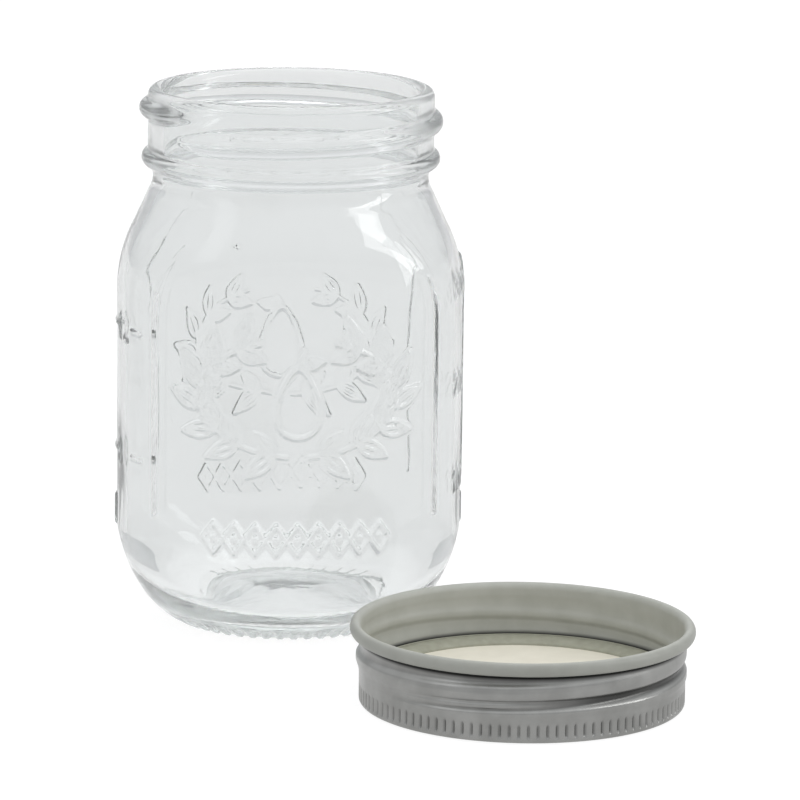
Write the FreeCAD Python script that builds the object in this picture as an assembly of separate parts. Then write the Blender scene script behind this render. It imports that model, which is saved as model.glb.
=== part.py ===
import FreeCAD, Part
import math
import os

# Mason jar, mouth up, with its two-piece metal lid lying upside down beside it.
# Millimetres, +Z up. The origin is on the jar's axis, on the surface that the jar stands on.
# The jar's front panel faces -Y. Azimuths are counted from -Y towards +X.

# ---- jar: outside heights and radii
BODY_R = 40.0
HEEL_TOP_Z = 22.0
SHOULDER_Z = 76.0
SHOULDER_END = (36.1, 93.3)
NECK_CURVE_START = (32.9, 100.4)
WAIST = (31.8, 104.3)
BEAD_R = 34.45
BEAD_Z = 108.2
BEAD_HALF = 1.8
BEAD_ROOT_R = 33.2
NECK_R = 33.0
RIM_ROUND_Z = 122.2
JAR_H = 124.4

# ---- jar: inside
MOUTH_R = 29.4
CAVITY_R = 37.5
WALL = BODY_R - CAVITY_R
CAVITY_HEEL_Z = 20.0
FLOOR_EDGE = (28.0, 5.0)
FLOOR_Z = 6.4

# ---- jar: the ring it stands on, and the push-up inside that ring
BEARING_IN = 25.2
BEARING_OUT = 26.4
PUSH_UP_EDGE = (23.0, 0.8)
PUSH_UP_Z = 2.4

# ---- jar: flattened front and back panels, and the ribs beside them
PANEL_R = 46.0
PANEL_DEPTH = 36.8
RIB_AZ = 55.0
RIB_TOP_AZ = 47.0
RIB_Z = (29.0, 78.0, 86.0)
RIB_R = 1.1
SIDE_BAR_R = 0.8
SIDE_BAR_Z = (33.0, 85.0)
SIDE_FOOT_Z = (22.5, 28.5)

# ---- thread, the same right-hand lead on jar and band
LEAD = 5.5
THREAD_TIP_R = 35.0
THREAD_HALF = 2.4
THREAD_START_AZ = -56.0
THREAD_TURN = 373.0
THREAD_START_Z = 114.6

# ---- lid: where it lies, and the screw band
LID_X = 47.07
LID_Y = -82.21
BAND_R = 35.9
SHEET = 0.35
FLANGE_IN_R = 28.5
CORNER_R = 0.9
KNURLS = 108
KNURL_VALLEY_R = 35.2
KNURL_SHEET = 0.6
KNURL_TOP_Z = 4.15
LEDGE_TOP_Z = 4.45
CURL_R = 38.0
CURL_TOP_Z = 18.04
CURL_LIP_Z = 15.0
BAND_THREAD_TIP_R = 34.45
BAND_THREAD_HALF = 1.4
BAND_GROOVE_DEPTH = 0.75
BAND_THREAD_START_AZ = -30.0
BAND_THREAD_START_Z = 8.3
BAND_THREAD_TURN = 400.0

# ---- lid: flat disc and its sealing ring
DISC_R = 34.85
DISC_Z = 4.55
DISC_SHEET = 0.3
DISC_LIP_Z = 6.5
DISC_CORNER_R = 0.8
SEAL_IN_R = 30.6
SEAL_Z = (5.75, 6.25)
SEAL_GAP = 0.01


def point(r, z):
    """A point of a half outline, at radius r and height z."""
    return FreeCAD.Vector(r, 0, z)


def line(a, b):
    return Part.LineSegment(point(*a), point(*b)).toShape()


def arc(a, middle, b):
    return Part.Arc(point(*a), point(*middle), point(*b)).toShape()


def dome(apex_z, edge):
    """The arc from the Z axis to an edge point, square to the axis, as a shallow dome has."""
    r, z = edge
    fall = apex_z - z
    radius = (r * r + fall * fall) / (2 * fall)
    halfway = apex_z - radius + math.sqrt(radius * radius - r * r / 4)
    return arc((0, apex_z), (r / 2, halfway), edge)


def revolve(edges):
    """The solid that a closed half outline sweeps about the Z axis."""
    face = Part.Face(Part.Wire(edges))
    return face.revolve(FreeCAD.Vector(0, 0, 0), FreeCAD.Vector(0, 0, 1), 360)


def around(azimuth, r, z):
    """The point at an azimuth, a radius and a height."""
    a = math.radians(azimuth)
    return FreeCAD.Vector(r * math.sin(a), -r * math.cos(a), z)


def bar(a, b, r):
    """A straight round bar from a to b with ball ends."""
    along = b - a
    rod = Part.makeCylinder(r, along.Length, a, along)
    return rod.fuse([Part.makeSphere(r, a), Part.makeSphere(r, b)])


def helical(root_r, tip_r, half, turn, start_azimuth, start_z, sink):
    """A right-hand helical ridge from a wall of root_r to tip_r, with its back sunk in it."""
    back = root_r + math.copysign(sink, root_r - tip_r)
    section = Part.Wire(
        [
            arc((back, -half), (tip_r, 0), (back, half)),
            line((back, half), (back, -half)),
        ]
    )
    path = Part.Wire(Part.makeHelix(LEAD, LEAD * turn / 360, root_r).Edges)
    ridge = path.makePipeShell([section], True, True)
    ridge.rotate(FreeCAD.Vector(0, 0, 0), FreeCAD.Vector(0, 0, 1), start_azimuth - 90)
    ridge.translate(FreeCAD.Vector(0, 0, start_z))
    return ridge


def band_thread(root_r, tip_r, half, sink):
    """The two halves, end to end, of the helix that is rolled into the band."""
    turn = BAND_THREAD_TURN / 2
    return [
        helical(
            root_r,
            tip_r,
            half,
            turn,
            BAND_THREAD_START_AZ + i * turn,
            BAND_THREAD_START_Z + i * turn * LEAD / 360,
            sink,
        )
        for i in range(2)
    ]


def flattened(solid, inset):
    """The solid with its front and back cut to the panels' large radius, set in by inset."""
    offset = PANEL_R - PANEL_DEPTH
    for side in (1, -1):
        centre = FreeCAD.Vector(0, side * offset, -1)
        solid = solid.common(Part.makeCylinder(PANEL_R - inset, JAR_H + 2, centre))
    return solid


def jar_outside():
    bead_low = (BEAD_ROOT_R, BEAD_Z - BEAD_HALF)
    bead_high = (BEAD_ROOT_R, BEAD_Z + BEAD_HALF)
    neck_foot = (NECK_R, BEAD_Z + BEAD_HALF + 0.3)
    rim_side = (NECK_R, RIM_ROUND_Z)
    rim_top = ((NECK_R + MOUTH_R) / 2, JAR_H)
    heel_join = (34.3, 6.9)
    return revolve(
        [
            dome(PUSH_UP_Z, PUSH_UP_EDGE),
            arc(PUSH_UP_EDGE, (24.0, 0.2), (BEARING_IN, 0)),
            line((BEARING_IN, 0), (BEARING_OUT, 0)),
            arc((BEARING_OUT, 0), (31.0, 3.1), heel_join),
            arc(heel_join, (37.8, 13.6), (BODY_R, HEEL_TOP_Z)),
            line((BODY_R, HEEL_TOP_Z), (BODY_R, SHOULDER_Z)),
            arc((BODY_R, SHOULDER_Z), (39.05, 85.6), SHOULDER_END),
            line(SHOULDER_END, NECK_CURVE_START),
            arc(NECK_CURVE_START, (32.05, 102.4), WAIST),
            arc(WAIST, (32.3, 105.6), bead_low),
            arc(bead_low, (BEAD_R, BEAD_Z), bead_high),
            line(bead_high, neck_foot),
            line(neck_foot, rim_side),
            arc(rim_side, (32.5, 123.8), rim_top),
            line(rim_top, (0, JAR_H)),
            line((0, JAR_H), (0, PUSH_UP_Z)),
        ]
    )


def jar_cavity():
    over_rim = JAR_H + 1
    rim_top = ((NECK_R + MOUTH_R) / 2, JAR_H)
    mouth_top = (MOUTH_R, RIM_ROUND_Z)
    mouth_foot = (MOUTH_R, 103.0)
    neck_end = (30.6, 99.35)
    shoulder_end = (33.8, 92.3)
    shoulder = (CAVITY_R, SHOULDER_Z)
    heel = (CAVITY_R, CAVITY_HEEL_Z)
    return revolve(
        [
            line((0, over_rim), (rim_top[0], over_rim)),
            line((rim_top[0], over_rim), rim_top),
            arc(rim_top, (29.9, 123.8), mouth_top),
            line(mouth_top, mouth_foot),
            arc(mouth_foot, (29.7, 101.1), neck_end),
            line(neck_end, shoulder_end),
            arc(shoulder_end, (36.55, 85.1), shoulder),
            line(shoulder, heel),
            arc(heel, (34.9, 10.2), FLOOR_EDGE),
            dome(FLOOR_Z, FLOOR_EDGE),
            line((0, FLOOR_Z), (0, over_rim)),
        ]
    )


def panel_ribs():
    """The four upright ribs beside the panels; their tops lean in over the shoulder."""
    seat_r = BODY_R - RIB_R + 0.6
    low, bend, top = RIB_Z
    ribs = []
    for azimuth, lean in (
        (RIB_AZ, RIB_TOP_AZ),
        (-RIB_AZ, -RIB_TOP_AZ),
        (180 - RIB_AZ, 180 - RIB_TOP_AZ),
        (180 + RIB_AZ, 180 + RIB_TOP_AZ),
    ):
        knee = around(azimuth, seat_r, bend)
        ribs.append(bar(around(azimuth, seat_r, low), knee, RIB_R))
        ribs.append(bar(knee, around(lean, 38.2, top), RIB_R))
    return ribs


def side_bars():
    """The long bar on the right-hand side, and a short foot on each side."""
    seat_r = BODY_R - SIDE_BAR_R + 0.5
    bars = [bar(around(90, seat_r, SIDE_BAR_Z[0]), around(90, seat_r, SIDE_BAR_Z[1]), SIDE_BAR_R)]
    for azimuth in (90, -90):
        foot = [around(azimuth, seat_r, z) for z in SIDE_FOOT_Z]
        bars.append(bar(foot[0], foot[1], SIDE_BAR_R))
    return bars


def glass_jar():
    outside = flattened(jar_outside(), 0)
    thread = helical(
        NECK_R, THREAD_TIP_R, THREAD_HALF, THREAD_TURN, THREAD_START_AZ, THREAD_START_Z, 0.8
    )
    outside = outside.fuse(panel_ribs() + side_bars()).fuse(thread)
    return outside.cut(flattened(jar_cavity(), WALL))


def knurled_wall():
    """The fluted wall between the flange and the ledge, one flat facet per flank."""
    walls = []
    for drop in (0, KNURL_SHEET):
        corners = []
        for i in range(2 * KNURLS):
            r = (BAND_R if i % 2 else KNURL_VALLEY_R) - drop
            corners.append(around(180 * i / KNURLS, r, 0))
        corners.append(corners[0])
        face = Part.Face(Part.makePolygon(corners))
        walls.append(face.extrude(FreeCAD.Vector(0, 0, KNURL_TOP_Z)))
    return walls[0].cut(walls[1])


def flange():
    """The flat inturned flange with a rounded outer corner."""
    corner = (BAND_R - CORNER_R * (1 - math.sqrt(0.5)), CORNER_R * (1 - math.sqrt(0.5)))
    top = CORNER_R
    return revolve(
        [
            line((FLANGE_IN_R, 0), (BAND_R - CORNER_R, 0)),
            arc((BAND_R - CORNER_R, 0), corner, (BAND_R, CORNER_R)),
            line((BAND_R, CORNER_R), (BAND_R - KNURL_SHEET, top)),
            line((BAND_R - KNURL_SHEET, top), (BAND_R - CORNER_R - 0.3, SHEET)),
            line((BAND_R - CORNER_R - 0.3, SHEET), (FLANGE_IN_R, SHEET)),
            line((FLANGE_IN_R, SHEET), (FLANGE_IN_R, 0)),
        ]
    )


def upper_wall():
    """The plain wall above the knurl, the ledge at its foot and the rolled curl at its top."""
    ledge_r = KNURL_VALLEY_R - KNURL_SHEET
    wall_in = BAND_R - SHEET
    curl_out_r = (CURL_R - wall_in) / 2
    curl_in_r = curl_out_r - SHEET
    mid_r = wall_in + curl_out_r
    mid_z = CURL_TOP_Z - curl_out_r
    return revolve(
        [
            line((ledge_r, KNURL_TOP_Z), (BAND_R, KNURL_TOP_Z)),
            line((BAND_R, KNURL_TOP_Z), (BAND_R, mid_z)),
            arc((BAND_R, mid_z), (mid_r, mid_z + curl_in_r), (CURL_R - SHEET, mid_z)),
            line((CURL_R - SHEET, mid_z), (CURL_R - SHEET, CURL_LIP_Z)),
            line((CURL_R - SHEET, CURL_LIP_Z), (CURL_R, CURL_LIP_Z)),
            line((CURL_R, CURL_LIP_Z), (CURL_R, mid_z)),
            arc((CURL_R, mid_z), (mid_r, CURL_TOP_Z), (wall_in, mid_z)),
            line((wall_in, mid_z), (wall_in, LEDGE_TOP_Z)),
            line((wall_in, LEDGE_TOP_Z), (ledge_r, LEDGE_TOP_Z)),
            line((ledge_r, LEDGE_TOP_Z), (ledge_r, KNURL_TOP_Z)),
        ]
    )


def screw_band():
    """One sheet-metal band: flange, knurl, rolled thread and curl."""
    beads = band_thread(BAND_R - SHEET, BAND_THREAD_TIP_R, BAND_THREAD_HALF, SHEET / 2)
    groove_r = BAND_R - BAND_GROOVE_DEPTH
    grooves = band_thread(BAND_R, groove_r, BAND_THREAD_HALF - SHEET, SHEET)
    band = flange().fuse([knurled_wall(), upper_wall()])
    for bead in beads:
        band = band.fuse(bead)
    for groove in grooves:
        band = band.cut(groove)
    return band


def lid_disc():
    """The flat disc with an upturned lip, as it lies inside down in the band."""
    lip_in = DISC_R - DISC_SHEET
    top = DISC_Z + DISC_SHEET
    bend = math.sqrt(0.5)
    outer_r = DISC_CORNER_R
    inner_r = DISC_CORNER_R - DISC_SHEET
    centre = (DISC_R - outer_r, DISC_Z + outer_r)
    return revolve(
        [
            line((0, DISC_Z), (centre[0], DISC_Z)),
            arc(
                (centre[0], DISC_Z),
                (centre[0] + outer_r * bend, centre[1] - outer_r * bend),
                (DISC_R, centre[1]),
            ),
            line((DISC_R, centre[1]), (DISC_R, DISC_LIP_Z)),
            line((DISC_R, DISC_LIP_Z), (lip_in, DISC_LIP_Z)),
            line((lip_in, DISC_LIP_Z), (lip_in, centre[1])),
            arc(
                (lip_in, centre[1]),
                (centre[0] + inner_r * bend, centre[1] - inner_r * bend),
                (centre[0], top),
            ),
            line((centre[0], top), (0, top)),
            line((0, top), (0, DISC_Z)),
        ]
    )


def sealing_ring():
    """The moulded ring bonded in the channel inside the disc's lip."""
    low = DISC_Z + DISC_SHEET + SEAL_GAP
    foot_out = DISC_R - DISC_CORNER_R - SEAL_GAP
    side = DISC_R - DISC_SHEET - SEAL_GAP
    knee_z = DISC_Z + DISC_CORNER_R + SEAL_GAP
    inner_top = (SEAL_IN_R + 0.5, SEAL_Z[0])
    return revolve(
        [
            line((SEAL_IN_R, low), (foot_out, low)),
            line((foot_out, low), (side, knee_z)),
            line((side, knee_z), (side, SEAL_Z[1])),
            line((side, SEAL_Z[1]), inner_top),
            line(inner_top, (SEAL_IN_R, low)),
        ]
    )


def placed(shape):
    """A lid piece, moved from the lid's own axis to where the lid lies."""
    shape.translate(FreeCAD.Vector(LID_X, LID_Y, 0))
    return shape


def main():
    os.makedirs("parts", exist_ok=True)
    nodes = {
        "glass_jar": glass_jar(),
        "screw_band": placed(screw_band()),
        "lid_disc": placed(lid_disc()),
        "sealing_ring": placed(sealing_ring()),
    }
    for name, shape in nodes.items():
        solid = shape.Solids[0]
        print(name, len(shape.Solids), "solid", shape.isValid(), round(shape.Volume, 1), "mm3")
        solid.exportStep(f"parts/{name}.step")


main()
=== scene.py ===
import math
import bpy
import numpy as np
from mathutils import Matrix, Vector


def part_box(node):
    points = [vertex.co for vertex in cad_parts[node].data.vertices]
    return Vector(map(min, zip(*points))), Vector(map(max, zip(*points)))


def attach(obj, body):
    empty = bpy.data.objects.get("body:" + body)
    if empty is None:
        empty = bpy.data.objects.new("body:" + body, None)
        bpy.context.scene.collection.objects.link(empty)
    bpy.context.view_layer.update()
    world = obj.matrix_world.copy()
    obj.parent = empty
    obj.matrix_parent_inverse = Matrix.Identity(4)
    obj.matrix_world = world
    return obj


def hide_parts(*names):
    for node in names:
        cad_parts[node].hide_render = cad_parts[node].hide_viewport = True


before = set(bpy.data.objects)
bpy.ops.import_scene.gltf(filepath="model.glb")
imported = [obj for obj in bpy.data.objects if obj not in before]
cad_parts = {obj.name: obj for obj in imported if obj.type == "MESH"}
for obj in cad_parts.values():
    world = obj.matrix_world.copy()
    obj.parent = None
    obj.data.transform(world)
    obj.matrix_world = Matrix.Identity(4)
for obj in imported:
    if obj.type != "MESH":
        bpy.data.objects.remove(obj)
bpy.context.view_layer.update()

# Mason jar, mouth up, with its two-piece metal lid lying upside down beside it.
# Outlines are in millimetres as in the CAD model; meshes are turned to metres when they are made.
# Azimuths are in degrees, counted from -Y (the jar's front panel) towards +X.

MM = 0.001

# ---- sizes taken from the frame
BAND_LOW, BAND_HIGH = (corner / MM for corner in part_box("screw_band"))
DISC_LOW, DISC_HIGH = (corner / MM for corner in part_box("lid_disc"))
SEAL_LOW, SEAL_HIGH = (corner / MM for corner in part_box("sealing_ring"))
LID_CENTRE = ((BAND_LOW + BAND_HIGH) / 2).to_2d()
JAR_H = (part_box("glass_jar")[1] / MM).z
CURL_R = (BAND_HIGH.x - BAND_LOW.x) / 2
CURL_TOP_Z = BAND_HIGH.z
DISC_R = (DISC_HIGH.x - DISC_LOW.x) / 2
SEAL_R = (SEAL_HIGH.x - SEAL_LOW.x) / 2

# ---- jar
BODY_R = 40.0
NECK_R = 33.0
MOUTH_R = 29.4
RIM_ROUND_Z = JAR_H - 2.2
BEAD_Z = 108.2
HEEL_TOP_Z = 22.0
SHOULDER_Z = 76.0
PANEL_R = 46.0
PANEL_DEPTH = 36.8
PANEL_CORNER = 1.4
WALL = 2.5
INSIDE_R = BODY_R - WALL
INSIDE_CORNER = 3.0
INSIDE_FLOOR_Z = 6.4
FOOT_BARS = 52
LEAD = 5.5
THREAD_TIP = 2.0
THREAD_HALF = 2.5
THREAD_START = (-56.0, 114.6)  # azimuth and height
THREAD_TURN = 373.0
COLUMNS = 600  # points in a ring of the outside
INNER_SHARE = 3  # the inside has a third as many

# ---- the panels' relief
WREATH_R, WREATH_RISE, WREATH_Z = 25.0, 13.5, 58.5
LEAF_PAIRS = 7
PEAR_Z = 57.5
DIAMOND_PITCH, DIAMOND_Z = 5.2, 25.8
RIB_AZIMUTH = 54.5
RIB_BEND_Z = 74.0

# ---- lid
BAND_R = 35.9
SHEET = 0.35
FLANGE_R = 28.5
KNURLS = 108
GRIP_TOP_Z = 5.4
THREAD_Z = 8.4
CURL_FOOT_Z = 15.45
WALL_TOP_Z = 15.5  # no thread above this
WALL_LEAST_R = 34.0  # the flange lies inside this
UNDER_CURL_SHADOW_Z = (13.5, 14.3)  # where the painted shadow under the curl begins and is full
CURL_SHADE_R = (36.8, 37.6)  # where the painted shade on the curl's outer side begins and is full
DISC_SHEET = 0.3
LIP_BEND = 0.8
SEAL_WIDTH = 4.0
LID_COLUMNS = 216

# ---- studio
FLOOR_HALF = 4.0
FLOOR_Z = -0.0002


# ======================================================================= outlines
def arc(a, middle, b, step):
    """Points of the circular arc from a through middle to b, without b."""
    (ax, ay), (mx, my), (bx, by) = a, middle, b
    d = 2 * (ax * (my - by) + mx * (by - ay) + bx * (ay - my))
    sa, sm, sb = ax * ax + ay * ay, mx * mx + my * my, bx * bx + by * by
    cx = (sa * (my - by) + sm * (by - ay) + sb * (ay - my)) / d
    cy = (sa * (bx - mx) + sm * (ax - bx) + sb * (mx - ax)) / d
    r = math.hypot(ax - cx, ay - cy)
    start = math.atan2(ay - cy, ax - cx)
    half = (math.atan2(my - cy, mx - cx) - start + math.pi) % (2 * math.pi) - math.pi
    rest = math.atan2(by - cy, bx - cx) - start - half
    turn = half + (rest + math.pi) % (2 * math.pi) - math.pi
    n = max(2, round(abs(turn) * r / step))
    angles = [start + turn * i / n for i in range(n)]
    return [(cx + r * math.cos(angle), cy + r * math.sin(angle)) for angle in angles]


def line(a, b, step):
    """Points of the straight run from a to b, without b."""
    n = max(1, round(math.hypot(b[0] - a[0], b[1] - a[1]) / step))
    return [(a[0] + (b[0] - a[0]) * i / n, a[1] + (b[1] - a[1]) * i / n) for i in range(n)]


def normals(outline):
    """Unit normals of an outline, on the right-hand side of its direction."""
    ahead = np.gradient(outline, axis=0)
    across = np.stack([ahead[:, 1], -ahead[:, 0]], axis=1)
    return across / np.linalg.norm(across, axis=1)[:, None]


def smooth(x):
    """0 below 0, 1 above 1, an S-curve between."""
    x = np.clip(x, 0, 1)
    return x * x * (3 - 2 * x)


def smooth_min(a, b, k):
    """The smaller of a and b, with a rounded corner of size k."""
    near = np.clip(0.5 + (b - a) / (2 * k), 0, 1)
    return b + (a - b) * near - k * near * (1 - near)


# ======================================================================= meshes
def ring_faces(start_a, count_a, start_b, count_b):
    """Faces between two closed rings of points; one count is a multiple of the other, or 1."""
    faces = []
    if count_b == 1:
        return [(start_a + i, start_a + (i + 1) % count_a, start_b) for i in range(count_a)]
    if count_a == 1:
        return [(start_a, start_b + (i + 1) % count_b, start_b + i) for i in range(count_b)]
    if count_a == count_b:
        i = np.arange(count_a)
        j = (i + 1) % count_a
        return np.stack([start_a + i, start_a + j, start_b + j, start_b + i], axis=1).tolist()
    if count_a > count_b:
        k = count_a // count_b
        for i in range(count_b):
            fan = [start_a + (i * k + m) % count_a for m in range(k + 1)]
            b, b_next = start_b + i, start_b + (i + 1) % count_b
            middle = k // 2
            faces += [(fan[m], fan[m + 1], b) for m in range(middle)]
            faces.append((fan[middle], fan[middle + 1], b_next, b))
            faces += [(fan[m], fan[m + 1], b_next) for m in range(middle + 1, k)]
        return faces
    return [tuple(reversed(face)) for face in ring_faces(start_b, count_b, start_a, count_a)]


def lattice(name, rings):
    """A mesh through rings of points in millimetres, each joined to the next."""
    faces, start = [], 0
    for ring, following in zip(rings, rings[1:]):
        after = start + len(ring)
        faces += ring_faces(start, len(ring), after, len(following))
        start = after
    mesh = bpy.data.meshes.new(name)
    mesh.from_pydata((np.concatenate(rings) * MM).tolist(), [], faces)
    mesh.polygons.foreach_set("use_smooth", np.ones(len(mesh.polygons), bool))
    mesh.update()
    piece = bpy.data.objects.new(name, mesh)
    bpy.context.scene.collection.objects.link(piece)
    return piece


def around(azimuths, r, z):
    """Points at azimuths, with a radius and a height each, as rows of x, y, z."""
    a = np.radians(azimuths)
    r, z = np.broadcast_to(r, a.shape), np.broadcast_to(z, a.shape)
    return np.stack([r * np.sin(a), -r * np.cos(a), z], axis=1)


# ======================================================================= jar: relief
def oval(cx, cz, rx, rz, start=0, end=360):
    """Points of an ellipse or part of one, angles counted from +s towards +z."""
    a = np.radians(np.linspace(start, end, max(4, int(abs(end - start) / 15) + 1)))
    return np.stack([cx + rx * np.cos(a), cz + rz * np.sin(a)], axis=1)


DIGITS = {
    "0": [oval(0.3, 0.5, 0.29, 0.5)],
    "1": [np.array([(0.08, 0.78), (0.32, 1.0), (0.32, 0.0)])],
    "2": [np.concatenate([oval(0.3, 0.71, 0.28, 0.29, 165, -35), [(0.02, 0.0), (0.6, 0.0)]])],
    "3": [oval(0.28, 0.75, 0.25, 0.25, 150, -90), oval(0.28, 0.26, 0.29, 0.26, 90, -150)],
    "8": [oval(0.3, 0.76, 0.23, 0.24), oval(0.3, 0.27, 0.28, 0.27)],
}


def number(text, left, low, height):
    """The strokes of a number, as lists of points."""
    strokes = []
    for i, digit in enumerate(text):
        corner = np.array([left + i * 0.84 * height, low])
        strokes += [corner + part * height for part in DIGITS[digit]]
    return strokes


def leaf(base, angle, length, width):
    """The outline and the midrib of a pointed leaf."""
    t = np.linspace(0, 1, 13)
    bulge = width * np.sin(np.pi * t ** 0.85) * (1 - 0.25 * t)
    droop = 0.10 * length * t * t
    upper = np.stack([t * length, bulge - droop], 1)
    lower = np.stack([t * length, -bulge - droop], 1)
    edge = np.concatenate([upper, lower[::-1]])
    rib = np.stack([t[:10] * length, -droop[:10]], 1)
    c, s = math.cos(math.radians(angle)), math.sin(math.radians(angle))
    turn = np.array([[c, s], [-s, c]])
    return [np.array(base) + edge @ turn, np.array(base) + rib @ turn]


def branch():
    """Strokes of the wreath's right-hand branch as (points, half width, height)."""
    a = np.radians(np.linspace(-84, 68, 41))
    stem = np.stack([WREATH_R * np.cos(a), WREATH_Z + WREATH_RISE * np.sin(a)], 1)
    marks = [(stem, 0.5, 0.55)]
    for i in range(LEAF_PAIRS):
        k = 2 + round(i * 5.6)
        lean = math.degrees(math.atan2(*(stem[k + 1] - stem[k])[::-1]))
        marks += [(part, 0.42, 0.7) for part in leaf(stem[k], lean - 40, 8.6, 1.9)]
        marks += [(part, 0.42, 0.65) for part in leaf(stem[k], lean + 44, 7.2, 1.6)]
    return marks


def pear():
    """Strokes of a plain pear with its stalk and one leaf."""
    a = np.radians(np.linspace(0, 360, 37))
    body = np.stack([(5.2 + 1.9 * np.cos(a)) * np.sin(a), PEAR_Z - 8.0 * np.cos(a)], 1)
    marks = [(body, 0.55, 0.7), (np.array([(0, 65.5), (0.5, 67.4), (1.5, 69.0)]), 0.5, 0.6)]
    marks += [(part, 0.42, 0.6) for part in leaf((0.2, 66.0), 18, 6.5, 1.5)]
    return marks


def panel_relief():
    """Strokes of one panel: a wreath round a pear, over a chain of diamonds."""
    marks = pear()
    for points, half, height in branch():
        marks += [(points, half, height), (points * (-1, 1), half, height)]
    for i in range(-4, 5):
        marks.append((oval(DIAMOND_PITCH * i, DIAMOND_Z, 2.6, 3.4)[::6], 0.5, 0.6))
        marks.append((oval(DIAMOND_PITCH * i, DIAMOND_Z, 0.5, 0.7), 0.5, 0.45))
    return marks


def rib_relief(side):
    """Strokes of the upright rib beside a panel; it leans in over the shoulder and dies away."""
    heights = np.concatenate([[29.5], np.linspace(RIB_BEND_Z, 93.0, 14)])
    azimuths = RIB_AZIMUTH - 0.036 * np.maximum(heights - RIB_BEND_Z, 0) ** 2
    points = np.stack([side * BODY_R * np.radians(azimuths), heights], 1)
    return [(points[:6], 0.55, 0.85), (points[5:9], 0.4, 0.5), (points[8:], 0.35, 0.22)]


def side_relief(right):
    """Measuring marks of one side: ticks and numbers, and the long bar on the right."""
    marks = [(np.array([(0, 22.5), (0, 28.5)]), 0.7, 0.5)]
    if right:
        marks.append((np.array([(0, 33.0), (0, 85.0)]), 0.6, 0.55))
        for text, z in (("100", 34.5), ("200", 57.5), ("300", 80.5)):
            marks.append((np.array([(-3.2, z), (-0.5, z)]), 0.45, 0.4))
            marks += [(part, 0.42, 0.36) for part in number(text, -15.5, z - 2.4, 4.4)]
    else:
        for text, z in (("8", 40.5), ("12", 70.0)):
            marks.append((np.array([(-4.5, z), (3.5, z)]), 0.5, 0.45))
            marks += [(part, 0.42, 0.38) for part in number(text, 5.5, z - 2.6, 5.2)]
            marks.append((np.array([(15.0, z), (19.5, z)]), 0.45, 0.5))
    return marks


def stamp(relief, azimuths, heights, centre, marks, edge=0.42):
    """Raises relief (rows by columns) by strokes, in millimetres along and up from a centre azimuth."""
    along = BODY_R * np.radians((azimuths - centre + 180) % 360 - 180)
    for points, half, height in marks:
        reach = half + edge
        low, high = points.min(0) - reach, points.max(0) + reach
        rows = np.where((heights > low[1]) & (heights < high[1]))[0]
        columns = np.where((along > low[0]) & (along < high[0]))[0]
        if not len(rows) or not len(columns):
            continue
        s, z = np.meshgrid(along[columns], heights[rows])
        nearest = np.full(s.shape, 1e9)
        for (s0, z0), (s1, z1) in zip(points, points[1:]):
            ds, dz = s1 - s0, z1 - z0
            t = np.clip(((s - s0) * ds + (z - z0) * dz) / (ds * ds + dz * dz + 1e-12), 0, 1)
            nearest = np.minimum(nearest, np.hypot(s - s0 - t * ds, z - z0 - t * dz))
        raised = height * smooth((reach - nearest) / (2 * edge))
        block = np.ix_(rows, columns)
        relief[block] = np.maximum(relief[block], raised)


def thread_relief(azimuths, z):
    """Height of the right-hand thread over the neck at one height; its ends fade out."""
    offset = np.zeros_like(azimuths)
    for turn in range(2):
        run = (azimuths - THREAD_START[0]) % 360 + 360 * turn
        centre = THREAD_START[1] + LEAD * run / 360
        fade = smooth(run / 24) * smooth((THREAD_TURN - run) / 24)
        t = np.abs(z - centre) / (THREAD_HALF * (0.35 + 0.65 * fade))
        offset = np.maximum(offset, THREAD_TIP * fade * np.clip(1 - t ** 2.4, 0, 1))
    return offset


def panel_limit(azimuths, inset):
    """Distance from the axis to the flattened front and back, by azimuth."""
    lift = PANEL_R - PANEL_DEPTH
    c, s = np.abs(np.cos(np.radians(azimuths))), np.sin(np.radians(azimuths))
    return -lift * c + np.sqrt((PANEL_R - inset) ** 2 - (lift * s) ** 2)


def waviness(azimuths, z, size):
    """Slow unevenness of moulded glass."""
    a = np.radians(azimuths)
    return size * (
        np.sin(3 * a + 0.05 * z + 0.7)
        + 0.7 * np.sin(5 * a - 0.11 * z + 2.1)
        + 0.5 * np.sin(8 * a + 0.17 * z)
        + 0.6 * np.sin(0.21 * z + 2 * a)
    )


# ======================================================================= jar
def jar_outside():
    """The outside half outline as (r, z), from the bottom's centre up to the rim's crest."""
    bead_low, bead_high = (33.2, BEAD_Z - 1.8), (33.2, BEAD_Z + 1.8)
    points = line((0.0, 2.4), (22.0, 1.2), 2.2)
    points += arc((22.0, 1.2), (24.2, 0.25), (25.2, 0.0), 0.5)
    points += line((25.2, 0.0), (26.4, 0.0), 0.4)
    points += arc((26.4, 0.0), (31.0, 3.1), (34.3, 6.9), 0.5)
    points += arc((34.3, 6.9), (37.8, 13.6), (BODY_R, HEEL_TOP_Z), 0.55)
    points += line((BODY_R, HEEL_TOP_Z), (BODY_R, SHOULDER_Z), 0.45)
    points += arc((BODY_R, SHOULDER_Z), (39.05, 85.6), (36.1, 93.3), 0.6)
    points += line((36.1, 93.3), (32.9, 100.4), 0.8)
    points += arc((32.9, 100.4), (32.05, 102.4), (31.8, 104.3), 0.5)
    points += arc((31.8, 104.3), (32.3, 105.6), bead_low, 0.4)
    points += arc(bead_low, (34.45, BEAD_Z), bead_high, 0.35)
    points += line(bead_high, (NECK_R, BEAD_Z + 2.1), 0.4)
    points += line((NECK_R, BEAD_Z + 2.1), (NECK_R, RIM_ROUND_Z), 0.4)
    points += arc((NECK_R, RIM_ROUND_Z), (32.5, 123.8), (31.2, JAR_H), 0.4)
    return np.array(points)


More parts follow.
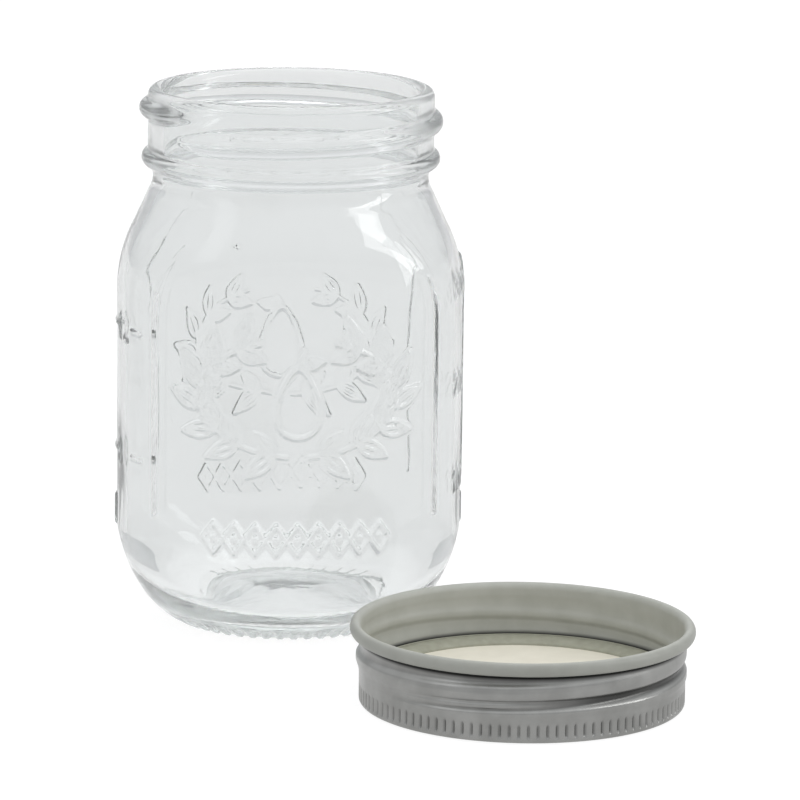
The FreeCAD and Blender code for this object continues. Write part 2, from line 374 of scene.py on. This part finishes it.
def jar_inside():
    """The inside half outline as (r, z), from the rim's crest down to the floor's centre."""
    points = arc((31.2, JAR_H), (29.9, 123.8), (MOUTH_R, RIM_ROUND_Z), 0.5)
    points += line((MOUTH_R, RIM_ROUND_Z), (MOUTH_R, 103.0), 1.0)
    points += arc((MOUTH_R, 103.0), (29.7, 101.1), (30.6, 99.35), 0.7)
    points += line((30.6, 99.35), (33.8, 92.3), 1.0)
    points += arc((33.8, 92.3), (36.55, 85.1), (INSIDE_R, SHOULDER_Z), 1.0)
    points += line((INSIDE_R, SHOULDER_Z), (INSIDE_R, 20.0), 1.6)
    points += arc((INSIDE_R, 20.0), (34.9, 10.2), (28.0, 5.0), 1.0)
    points += arc((28.0, 5.0), (14.0, 6.05), (0.0, INSIDE_FLOOR_Z), 1.6)
    return np.array(points)


def base_bars(azimuths, r):
    """Depth cut between the short radial bars that the jar stands on."""
    bars = smooth(0.5 + 0.9 * np.cos(np.radians(azimuths) * FOOT_BARS))
    return -0.4 * (1 - bars) * smooth((r - 22.6) / 1.2) * smooth((31.0 - r) / 1.5)


def jar_outer_rings():
    """Rings of the outside, with panels, relief, thread and foot bars, from the bottom to the rim."""
    outline = jar_outside()
    side = normals(outline)
    azimuths = np.arange(COLUMNS) * 360 / COLUMNS
    relief = np.zeros((len(outline), COLUMNS))
    heights = np.where(outline[:, 0] > 33.5, outline[:, 1], -1e3)
    for centre in (0, 180):
        stamp(relief, azimuths, heights, centre, panel_relief())
        stamp(relief, azimuths, heights, centre, rib_relief(-1) + rib_relief(1), edge=0.75)
    stamp(relief, azimuths, heights, 90, side_relief(True), edge=0.5)
    stamp(relief, azimuths, heights, -90, side_relief(False), edge=0.5)
    limit = panel_limit(azimuths, 0)
    rings = []
    for (r, z), (nr, nz), raised in zip(outline, side, relief):
        if r == 0:
            rings.append(np.array([(0.0, 0.0, z)]))
            continue
        radius = smooth_min(np.full(COLUMNS, r), limit, PANEL_CORNER)
        raised = raised + waviness(azimuths, z, 0.02)
        if z > BEAD_Z + 1.5:
            raised = raised + thread_relief(azimuths, z)
        if r < 32 and z < 5:
            raised = base_bars(azimuths, r)
        rings.append(around(azimuths, radius + nr * raised, z + nz * raised))
    return rings


def jar_inner_rings():
    """Rings of the smooth inside, from the rim down to the middle of the floor."""
    outline = jar_inside()
    side = normals(outline)
    rings = []
    for i, ((r, z), (nr, nz)) in enumerate(zip(outline, side)):
        columns = COLUMNS if i == 0 else COLUMNS // INNER_SHARE
        azimuths = np.arange(columns) * 360 / columns
        radius = smooth_min(np.full(columns, r), panel_limit(azimuths, WALL), INSIDE_CORNER)
        ripple = waviness(azimuths + 40, z, 0.06) * smooth((34.0 - abs(z - 52)) / 40 + 0.6)
        if z > 100:
            ripple = ripple * 0.2
        rings.append(around(azimuths, radius - nr * ripple, z - nz * ripple))
    rings.append(np.array([(0.0, 0.0, INSIDE_FLOOR_Z)]))
    return rings


def glass_jar():
    """The jar, one closed skin of glass."""
    piece = lattice("jar_glass", jar_outer_rings() + jar_inner_rings())
    piece.data.materials.append(glass())
    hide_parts("glass_jar")
    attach(piece, "jar")


# ======================================================================= lid
def lid_rings(outline, columns):
    """Round rings of the lid through an outline's points."""
    azimuths = np.arange(columns) * 360 / columns
    return [around(azimuths, r, z) + (*LID_CENTRE, 0) for r, z in outline]


def band_thread(azimuths, z):
    """How far the rolled thread moves the band's wall: in along the groove, out on both sides of it.

    The groove starts as a fine double line at the front left and opens into one wide groove."""
    offset = np.zeros_like(azimuths)
    for turn in range(-1, 2):
        run = (azimuths + 80) % 360 + 360 * turn
        centre = THREAD_Z + LEAD * (run - 80) / 360
        open_out = smooth((run - 55) / 55)
        depth = 0.85 - 0.5 * smooth((run - 150) / 60) + 0.3 * smooth((run - 400) / 40)
        fade = smooth(run / 70) * smooth((500 - run) / 90)
        u = z - centre
        wide = np.exp(-np.abs(u / 1.05) ** 3)
        fine = np.exp(-(((u - 0.75) / 0.42) ** 2)) + np.exp(-(((u + 0.95) / 0.42) ** 2))
        lip = np.exp(-(((u + 1.55) / 0.45) ** 2))
        crests = 0.28 * np.exp(-(((u + 2.6) / 1.3) ** 2)) + 0.2 * np.exp(-(((u - 2.6) / 1.5) ** 2))
        offset += fade * open_out * (crests + 0.15 * lip - depth * wide)
        offset -= fade * (1 - open_out) * 0.55 * fine
    left = smooth((np.cos(np.radians(azimuths + 75)) + 0.2) / 1.0)
    belly = 0.46 * left * np.exp(-(((z - 10.0) / 2.0) ** 2))
    return (offset + belly) * smooth((z - GRIP_TOP_Z) / 1.4) * smooth((WALL_TOP_Z - z) / 1.0)


def knurl(azimuths, z):
    """Depth of the narrow grip slots at the foot of the wall."""
    along = (azimuths * KNURLS / 360 + 0.5) % 1 - 0.5
    slot = np.exp(-((along / 0.17) ** 2))
    window = smooth((z - 0.6) / 1.2) * smooth((4.7 - z) / 1.2)
    return -0.45 * slot * window


def band_outline():
    """The sheet's half outline in three parts: knurled foot, threaded wall, curl and inside."""
    bend = 0.9
    corner = bend * (1 - math.sqrt(0.5))
    wall_in = BAND_R - SHEET
    curl_half, curl_rise = (CURL_R - wall_in) / 2, 1.5
    curl_z = CURL_TOP_Z - curl_rise
    foot = line((FLANGE_R, 0.0), (BAND_R - bend, 0.0), 2.5)
    foot += arc((BAND_R - bend, 0.0), (BAND_R - corner, corner), (BAND_R, bend), 0.3)
    foot += line((BAND_R, bend), (BAND_R, GRIP_TOP_Z), 0.28)
    wall = line((BAND_R, GRIP_TOP_Z), (BAND_R, CURL_FOOT_Z), 0.3)
    turns = np.radians(np.arange(-132, 180, 12))
    curl_r = CURL_R - curl_half
    rest = [(curl_r + curl_half * math.cos(a), curl_z + curl_rise * math.sin(a)) for a in turns]
    rest += line((wall_in, curl_z), (wall_in, bend), 0.35)
    rest += arc((wall_in, bend), (wall_in - 0.2, 0.55), (BAND_R - bend, SHEET), 0.3)
    rest += line((BAND_R - bend, SHEET), (FLANGE_R, SHEET), 2.5)
    return foot, wall, rest


def screw_band():
    """One sheet of tinplate: flange, knurl, rolled thread and curl."""
    # columns are bunched at each grip slot
    within = np.array([-0.5, -0.3, -0.16, -0.07, 0.0, 0.07, 0.16, 0.3])
    fine = ((np.arange(KNURLS)[:, None] + within).ravel() * 360 / KNURLS) % 360
    foot, wall, rest = band_outline()
    rings, coated = [], []
    for part, step in ((foot, 1), (wall, 2), (rest, 4)):
        azimuths = fine[::step]
        for r, z in part:
            upright = WALL_LEAST_R < r < BAND_R + 0.01 and z < WALL_TOP_Z
            share = 0.75 if part is rest else 1.0  # the inside follows the outside more softly
            move = share * (knurl(azimuths, z) * (z > 0.3) + band_thread(azimuths, z)) if upright else 0
            rings.append(around(azimuths, r + move, z) + (*LID_CENTRE, 0))
            coated.append(part is rest)
    rings.append(around(fine[::4], *foot[0]) + (*LID_CENTRE, 0))
    piece = lattice("band_tinplate", rings)
    piece.data.materials.append(tinplate())
    piece.data.materials.append(coat())
    slots = [int(is_coat) for ring, is_coat in zip(rings, coated) for _ in range(len(ring))]
    piece.data.polygons.foreach_set("material_index", slots)
    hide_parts("screw_band")
    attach(piece, "band")


def lid_disc():
    """The flat disc with an upturned lip."""
    low, top = DISC_LOW.z, DISC_HIGH.z
    flat_r, lip_r = DISC_R - LIP_BEND, DISC_R - DISC_SHEET
    lip_low, lip_top = low + LIP_BEND, top - 0.1
    outline = line((0.0, low), (flat_r, low), 2.0)
    outline += arc((flat_r, low), (DISC_R - 0.23, low + 0.23), (DISC_R, lip_low), 0.25)
    outline += line((DISC_R, lip_low), (DISC_R, lip_top), 0.3)
    outline += arc((DISC_R, lip_top), (DISC_R - DISC_SHEET / 2, top), (lip_r, lip_top), 0.15)
    outline += line((lip_r, lip_top), (lip_r, lip_low), 0.3)
    outline += arc((lip_r, lip_low), (DISC_R - 0.5, low + 0.5), (flat_r, low + DISC_SHEET), 0.2)
    outline += line((flat_r, low + DISC_SHEET), (0.0, low + DISC_SHEET), 1.2)
    rings = lid_rings(outline[1:], LID_COLUMNS)
    ends = [np.array([(*LID_CENTRE, z)]) for z in (low, low + DISC_SHEET)]
    piece = lattice("disc_tinplate", [ends[0]] + rings + [ends[1]])
    piece.data.materials.append(tinplate())
    piece.data.materials.append(cream())
    piece.data.materials.append(compound())
    for face in piece.data.polygons:
        x, y, z = face.center / MM
        on_lip = math.hypot(x - LID_CENTRE.x, y - LID_CENTRE.y) > DISC_R - 0.9
        if z > low + 0.2:
            face.material_index = 2 if on_lip else 1
    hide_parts("lid_disc")
    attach(piece, "disc")


def sealing_ring():
    """The moulded ring that lies in the channel inside the disc's lip."""
    low = SEAL_LOW.z
    inner = SEAL_R - SEAL_WIDTH
    top = SEAL_HIGH.z
    outline = line((inner, low), (SEAL_R - 0.9, low), 0.5)
    outline += line((SEAL_R - 0.9, low), (SEAL_R, low + 0.7), 0.3)
    outline += line((SEAL_R, low + 0.7), (SEAL_R, top), 0.3)
    outline += arc((SEAL_R, top), (SEAL_R - 1.8, top - 0.12), (inner + 0.5, low + 0.75), 0.3)
    outline += arc((inner + 0.5, low + 0.75), (inner + 0.1, low + 0.4), (inner, low), 0.2)
    piece = lattice("seal_compound_ring", lid_rings(outline + [outline[0]], LID_COLUMNS))
    piece.data.materials.append(compound())
    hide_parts("sealing_ring")
    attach(piece, "disc")


# ======================================================================= materials
def new_material(name):
    """A material with its Principled shader and its node and link makers."""
    material = bpy.data.materials.new(name)
    material.use_nodes = True
    nodes, links = material.node_tree.nodes, material.node_tree.links
    return material, nodes["Principled BSDF"], nodes, links


def noise(nodes, links, scale, detail, stretch=(1, 1, 1)):
    """A noise texture in object space."""
    place = nodes.new("ShaderNodeTexCoord")
    mapping = nodes.new("ShaderNodeMapping")
    mapping.inputs["Scale"].default_value = stretch
    texture = nodes.new("ShaderNodeTexNoise")
    texture.inputs["Scale"].default_value = scale
    texture.inputs["Detail"].default_value = detail
    links.new(place.outputs["Object"], mapping.inputs["Vector"])
    links.new(mapping.outputs["Vector"], texture.inputs["Vector"])
    return texture.outputs["Fac"]


def ramp(nodes, links, source, low, high, start=0.35, end=0.65):
    """A colour ramp from low to high."""
    node = nodes.new("ShaderNodeValToRGB")
    node.color_ramp.elements[0].position = start
    node.color_ramp.elements[1].position = end
    node.color_ramp.elements[0].color = low
    node.color_ramp.elements[1].color = high
    links.new(source, node.inputs["Fac"])
    return node.outputs["Color"]


def spread(nodes, links, source, low, high, start=0.0, end=1.0):
    """A value mapped from start..end to low..high."""
    node = nodes.new("ShaderNodeMapRange")
    node.inputs["From Min"].default_value = start
    node.inputs["From Max"].default_value = end
    node.inputs["To Min"].default_value = low
    node.inputs["To Max"].default_value = high
    links.new(source, node.inputs["Value"])
    return node.outputs["Result"]


def bump(nodes, links, source, shader, distance, strength=1.0):
    """Fine unevenness of a shader's surface."""
    node = nodes.new("ShaderNodeBump")
    node.inputs["Distance"].default_value = distance
    node.inputs["Strength"].default_value = strength
    links.new(source, node.inputs["Height"])
    links.new(node.outputs["Normal"], shader.inputs["Normal"])


def glass():
    """Clear moulded glass, faintly wavy, with a grey-green tint in its thick parts."""
    material, shader, nodes, links = new_material("clear_glass")
    shader.inputs["Base Color"].default_value = (0.965, 0.975, 0.975, 1)
    shader.inputs["Transmission Weight"].default_value = 0.955
    shader.inputs["IOR"].default_value = 1.5
    cloudy = noise(nodes, links, 45, 2)
    links.new(spread(nodes, links, cloudy, 0.0, 0.03), shader.inputs["Roughness"])
    bump(nodes, links, noise(nodes, links, 110, 2, (1, 1, 0.5)), shader, 0.0002, 0.35)
    absorb = nodes.new("ShaderNodeVolumeAbsorption")
    absorb.inputs["Color"].default_value = (0.72, 0.86, 0.78, 1)
    absorb.inputs["Density"].default_value = 4.0
    links.new(absorb.outputs["Volume"], nodes["Material Output"].inputs["Volume"])
    return material


def distance_out(nodes, links):
    """Distance from the lid's axis and height above the floor, in object space."""
    place = nodes.new("ShaderNodeTexCoord")
    shift = nodes.new("ShaderNodeVectorMath")
    shift.operation = "SUBTRACT"
    shift.inputs[1].default_value = (LID_CENTRE.x * MM, LID_CENTRE.y * MM, 0)
    flat = nodes.new("ShaderNodeVectorMath")
    flat.operation = "MULTIPLY"
    flat.inputs[1].default_value = (1, 1, 0)
    reach = nodes.new("ShaderNodeVectorMath")
    reach.operation = "LENGTH"
    height = nodes.new("ShaderNodeSeparateXYZ")
    links.new(place.outputs["Object"], shift.inputs[0])
    links.new(shift.outputs["Vector"], flat.inputs[0])
    links.new(flat.outputs["Vector"], reach.inputs[0])
    links.new(shift.outputs["Vector"], height.inputs["Vector"])
    return reach.outputs["Value"], height.outputs["Z"]


def times(nodes, links, a, b):
    """The product of two values, or of a colour and a value."""
    node = nodes.new("ShaderNodeVectorMath")
    node.operation = "MULTIPLY"
    links.new(a, node.inputs[0])
    links.new(b, node.inputs[1])
    return node.outputs["Vector"]


def larger(nodes, links, a, b):
    """The larger of two values."""
    node = nodes.new("ShaderNodeMath")
    node.operation = "MAXIMUM"
    links.new(a, node.inputs[0])
    links.new(b, node.inputs[1])
    return node.outputs["Value"]


def tinplate():
    """Satin tinplate with a fine rolling grain, darkened by painted shade in the thread groove and grip
    slots and by a painted shadow under the curl.
    """
    material, shader, nodes, links = new_material("satin_tinplate")
    shader.inputs["Metallic"].default_value = 1.0
    mottle = noise(nodes, links, 160, 4)
    bright = ramp(nodes, links, mottle, (0.30, 0.30, 0.29, 1), (0.36, 0.36, 0.35, 1))
    reach, height = distance_out(nodes, links)
    # painted shade: the tinplate is darkened where it lies in from the band's wall, in the thread
    # groove and the grip slots; the flange and the disc are kept out of it
    painted_recess_shade = spread(nodes, links, reach, 0.22, 1.0, (BAND_R - 0.8) * MM, (BAND_R - 0.1) * MM)
    flange = spread(nodes, links, height, 1.0, 0.0, 0.5 * MM, 1.0 * MM)
    disc = spread(nodes, links, reach, 1.0, 0.0, (DISC_R + 0.02) * MM, (DISC_R + 0.1) * MM)
    groove = larger(nodes, links, painted_recess_shade, larger(nodes, links, flange, disc))
    # painted shadow: the band's wall just under the curl is darkened almost to black
    painted_shadow_under_curl = spread(nodes, links, height, 1.0, 0.06, UNDER_CURL_SHADOW_Z[0] * MM, UNDER_CURL_SHADOW_Z[1] * MM)
    colour_with_painted_shade = times(nodes, links, times(nodes, links, bright, groove), painted_shadow_under_curl)
    links.new(colour_with_painted_shade, shader.inputs["Base Color"])
    grain = noise(nodes, links, 900, 3, (1, 1, 4))
    links.new(spread(nodes, links, grain, 0.24, 0.38), shader.inputs["Roughness"])
    bump(nodes, links, grain, shader, 0.00002, 0.5)
    return material


def coat():
    """The grey-green coat inside the band, with painted shade low on the wall beside the sealing ring
    and on the curl's outer side.
    """
    material, shader, nodes, links = new_material("band_coat")
    mottle = noise(nodes, links, 220, 4)
    clean = ramp(nodes, links, mottle, (0.40, 0.405, 0.365, 1), (0.44, 0.445, 0.405, 1))
    reach, height = distance_out(nodes, links)
    # painted shade: the coat is darkened to a tenth of its colour low on the wall, beside the sealing
    # ring
    foot = spread(nodes, links, height, 0.1, 1.0, (SEAL_HIGH.z + 0.1) * MM, (SEAL_HIGH.z + 1.0) * MM)
    # painted shade: the coat on the curl's outer side is darker than on its top
    painted_curl_shade = spread(nodes, links, reach, 0.95, 0.72, CURL_SHADE_R[0] * MM, CURL_SHADE_R[1] * MM)
    shaded = times(nodes, links, times(nodes, links, clean, foot), painted_curl_shade)
    links.new(shaded, shader.inputs["Base Color"])
    links.new(spread(nodes, links, mottle, 0.38, 0.5), shader.inputs["Roughness"])
    bump(nodes, links, noise(nodes, links, 1200, 2), shader, 0.00002, 0.5)
    return material


def cream():
    """Smooth cream food lacquer with a very fine orange peel."""
    material, shader, nodes, links = new_material("cream_lacquer")
    mottle = noise(nodes, links, 300, 4)
    colour = ramp(nodes, links, mottle, (0.78, 0.74, 0.63, 1), (0.81, 0.77, 0.66, 1))
    links.new(colour, shader.inputs["Base Color"])
    links.new(spread(nodes, links, mottle, 0.36, 0.46), shader.inputs["Roughness"])
    bump(nodes, links, noise(nodes, links, 900, 2), shader, 0.00002, 0.6)
    return material


def compound():
    """Soft matt sealing compound."""
    material, shader, nodes, links = new_material("seal_compound")
    mottle = noise(nodes, links, 500, 4)
    colour = ramp(nodes, links, mottle, (0.30, 0.30, 0.235, 1), (0.35, 0.35, 0.28, 1))
    links.new(colour, shader.inputs["Base Color"])
    links.new(spread(nodes, links, mottle, 0.55, 0.7), shader.inputs["Roughness"])
    bump(nodes, links, mottle, shader, 0.00004, 0.6)
    return material


# ======================================================================= studio
def seen_directly(nodes, links, for_camera, for_light):
    """A fixed strength for what the camera sees of the studio, another for the light that it gives."""
    strength = nodes.new("ShaderNodeMix")
    links.new(nodes.new("ShaderNodeLightPath").outputs["Is Camera Ray"], strength.inputs["Factor"])
    links.new(for_light, strength.inputs["A"])
    strength.inputs["B"].default_value = for_camera
    return strength.outputs["Result"]


def floor():
    """A plain pale floor, lit through from below as a light table is."""
    mesh = bpy.data.meshes.new("floor")
    signs = ((-1, -1), (1, -1), (1, 1), (-1, 1))
    corners = [(x * FLOOR_HALF, y * FLOOR_HALF, FLOOR_Z) for x, y in signs]
    mesh.from_pydata(corners, [], [(0, 1, 2, 3)])
    plane = bpy.data.objects.new("floor", mesh)
    bpy.context.scene.collection.objects.link(plane)
    material, shader, nodes, links = new_material("floor")
    shader.inputs["Base Color"].default_value = (0.15, 0.15, 0.15, 1)
    shader.inputs["Roughness"].default_value = 0.9
    shader.inputs["Specular IOR Level"].default_value = 0.1
    shader.inputs["Emission Color"].default_value = (1, 1, 1, 1)
    reach = nodes.new("ShaderNodeVectorMath")
    reach.operation = "LENGTH"
    links.new(nodes.new("ShaderNodeTexCoord").outputs["Object"], reach.inputs[0])
    glow = spread(nodes, links, reach.outputs["Value"], 0.9, 0.66, 0.02, 0.09)
    links.new(seen_directly(nodes, links, 0.90, glow), shader.inputs["Emission Strength"])
    mesh.materials.append(material)


def area_light(name, low_end, high_end, width, target, power):
    """A rectangular soft light, its middle line between two points in metres, turned to its target."""
    low_end, high_end = Vector(low_end), Vector(high_end)
    place = (low_end + high_end) / 2
    along = (high_end - low_end).normalized()
    side = along.cross(place - Vector(target)).normalized()
    data = bpy.data.lights.new(name, "AREA")
    data.shape = "RECTANGLE"
    data.size, data.size_y = width, (high_end - low_end).length
    data.energy = power
    light = bpy.data.objects.new(name, data)
    turn = Matrix((side, along, side.cross(along))).transposed()
    light.matrix_world = Matrix.Translation(place) @ turn.to_4x4()
    bpy.context.scene.collection.objects.link(light)


def studio():
    """A pale tent that looks white to the camera, and three soft lights."""
    scene = bpy.context.scene
    scene.view_settings.view_transform = "Standard"
    scene.cycles.max_bounces = 24
    scene.cycles.glossy_bounces = 20
    scene.cycles.transmission_bounces = 20
    world = bpy.data.worlds.new("studio")
    world.use_nodes = True
    nodes, links = world.node_tree.nodes, world.node_tree.links
    nodes["Background"].inputs["Color"].default_value = (0.97, 0.985, 1.0, 1)
    height = nodes.new("ShaderNodeSeparateXYZ")
    links.new(nodes.new("ShaderNodeTexCoord").outputs["Generated"], height.inputs["Vector"])
    tent = spread(nodes, links, height.outputs["Z"], 0.58, 1.2)
    links.new(seen_directly(nodes, links, 1.0, tent), nodes["Background"].inputs["Strength"])
    scene.world = world
    area_light("top_light", (0.0, -0.5, 1.3), (0.0, 0.7, 1.3), 1.2, (0.0, 0.1, 0.0), 2.5)
    area_light("right_strip", (0.99, -0.12, 0.09), (0.63, -0.45, 0.80), 0.2, (0.0, 0.0, 0.07), 1.7)
    area_light("left_soft", (-0.9, -0.5, 0.25), (-0.75, -0.42, 0.9), 0.3, (0.0, 0.0, 0.05), 0.3)


def camera():
    """The main view: a long lens, looking 11.7 degrees down."""
    heading, pitch, roll = (math.radians(a) for a in (4.5, 11.704, 0.709))
    level = math.cos(pitch)
    ahead = Vector((math.sin(heading) * level, math.cos(heading) * level, -math.sin(pitch)))
    right = Vector((math.cos(heading), -math.sin(heading), 0))
    up = right.cross(ahead)
    c, s = math.cos(roll), math.sin(roll)
    right, up = right * c + up * s, up * c - right * s
    data = bpy.data.cameras.new("main_camera")
    data.sensor_width = 36.0
    data.lens = 238.0
    data.clip_start, data.clip_end = 0.05, 50.0
    main = bpy.data.objects.new("main_camera", data)
    place = Vector((-68.85, -1203.6, 300.8)) * MM
    main.matrix_world = Matrix.Translation(place) @ Matrix((right, up, -ahead)).transposed().to_4x4()
    bpy.context.scene.collection.objects.link(main)
    bpy.context.scene.camera = main


glass_jar()
screw_band()
lid_disc()
sealing_ring()
floor()
studio()
camera()
